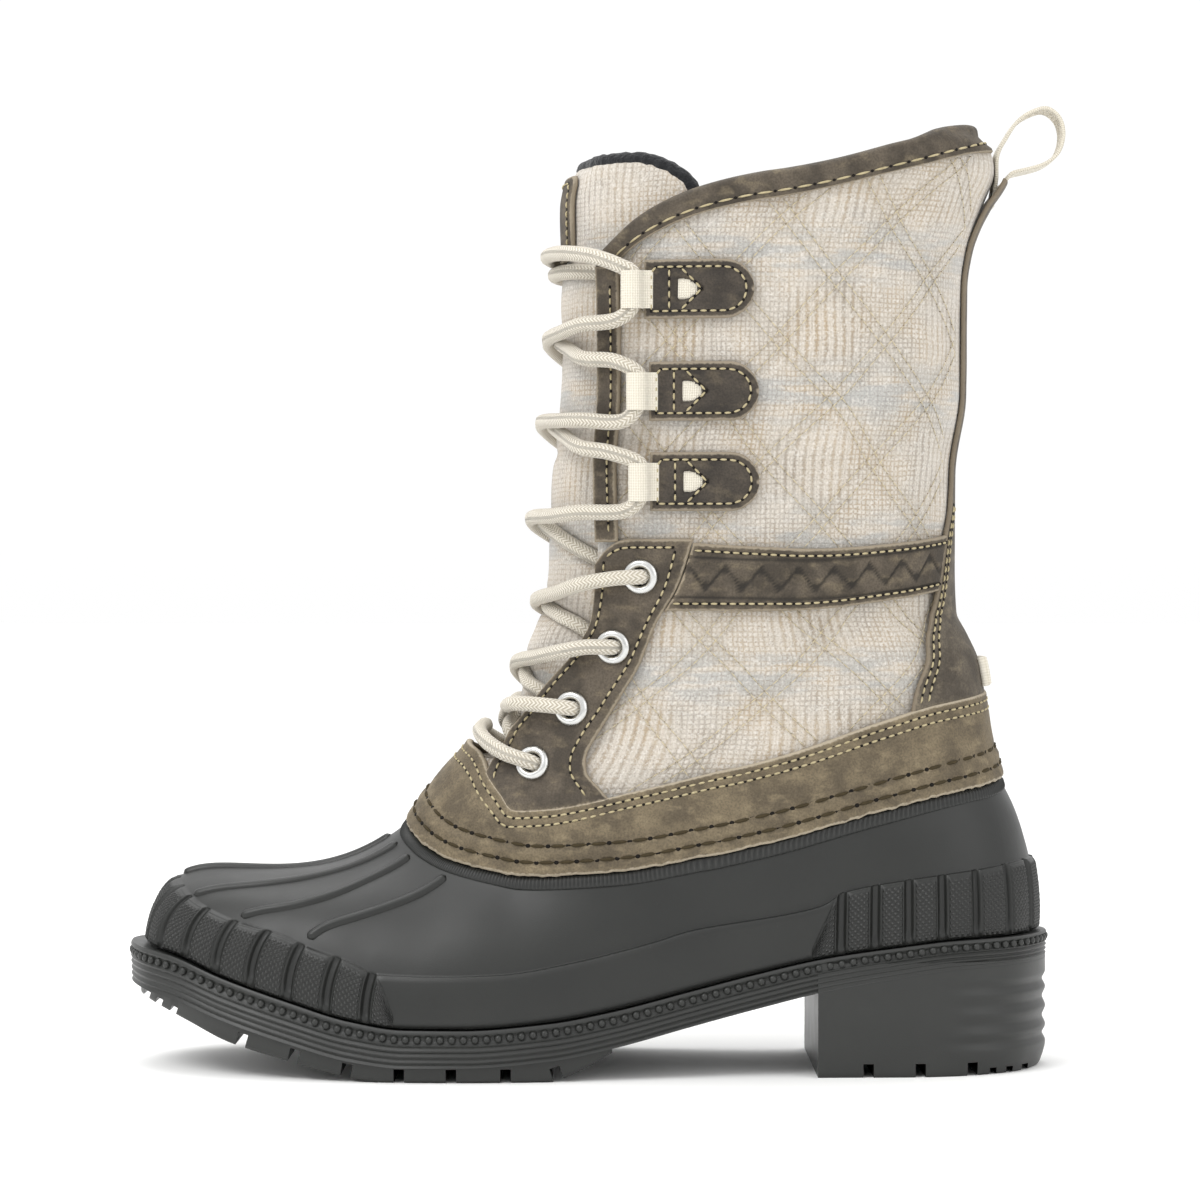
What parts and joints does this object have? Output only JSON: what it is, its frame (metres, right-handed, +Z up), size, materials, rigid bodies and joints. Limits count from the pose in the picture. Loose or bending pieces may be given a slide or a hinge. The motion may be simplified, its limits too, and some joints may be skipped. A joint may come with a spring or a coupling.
{
  "type": "winter boot",
  "caption": "Left lace-up winter boot: moulded rubber shell on a lugged block-heel sole, quilted wool shaft with leather trims, tongue and webbing pull loop.",
  "frame": {"origin": "centre of the bounding box in plan, on the floor under the sole", "axes": "+Z up from the floor, toe towards -X, heel towards +X, lateral (outer) side of the foot towards -Y, medial side towards +Y"},
  "size_m": [0.2955, 0.1022, 0.3016],
  "materials": {
    "rubber": "satin moulded black rubber",
    "leather": "waxed brown nubuck with scuffs",
    "wool": "quilted cream plaid wool",
    "webbing": "woven cream webbing",
    "lace_cord": "round braided cord",
    "lining": "black fleece",
    "eyelet_metal": "bright rolled eyelets"
  },
  "bodies": {
    "root": {"outsole": "rubber", "rubber_shell": "rubber", "insole": "lining", "shaft": "wool", "tongue": "wool", "tongue_patch": "leather", "leather_band": "leather", "backstay": "leather", "heel_tab": "webbing", "collar_binding": "leather", "pull_loop": "webbing", "eyelet_lateral_1": "eyelet_metal", "eyelet_lateral_2": "eyelet_metal", "eyelet_lateral_3": "eyelet_metal", "eyelet_lateral_4": "eyelet_metal", "eyestay_lateral": "leather", "ankle_strap_lateral": "leather", "throat_strip_lateral": "leather", "lace_tab_lateral_1": "leather", "webbing_loop_lateral_1": "webbing", "lace_tab_lateral_2": "leather", "webbing_loop_lateral_2": "webbing", "lace_tab_lateral_3": "leather", "webbing_loop_lateral_3": "webbing", "eyelet_medial_1": "eyelet_metal", "eyelet_medial_2": "eyelet_metal", "eyelet_medial_3": "eyelet_metal", "eyelet_medial_4": "eyelet_metal", "eyestay_medial": "leather", "ankle_strap_medial": "leather", "throat_strip_medial": "leather", "lace_tab_medial_1": "leather", "webbing_loop_medial_1": "webbing", "lace_tab_medial_2": "leather", "webbing_loop_medial_2": "webbing", "lace_tab_medial_3": "leather", "webbing_loop_medial_3": "webbing", "lace_bar_bottom": "lace_cord", "lace_bar_top_upper": "lace_cord", "lace_bar_top_lower": "lace_cord", "lace_cross_1": "lace_cord", "lace_cross_2": "lace_cord", "lace_cross_3": "lace_cord", "lace_cross_4": "lace_cord", "lace_cross_5": "lace_cord", "lace_cross_6": "lace_cord"}
  },
  "joints": []
}
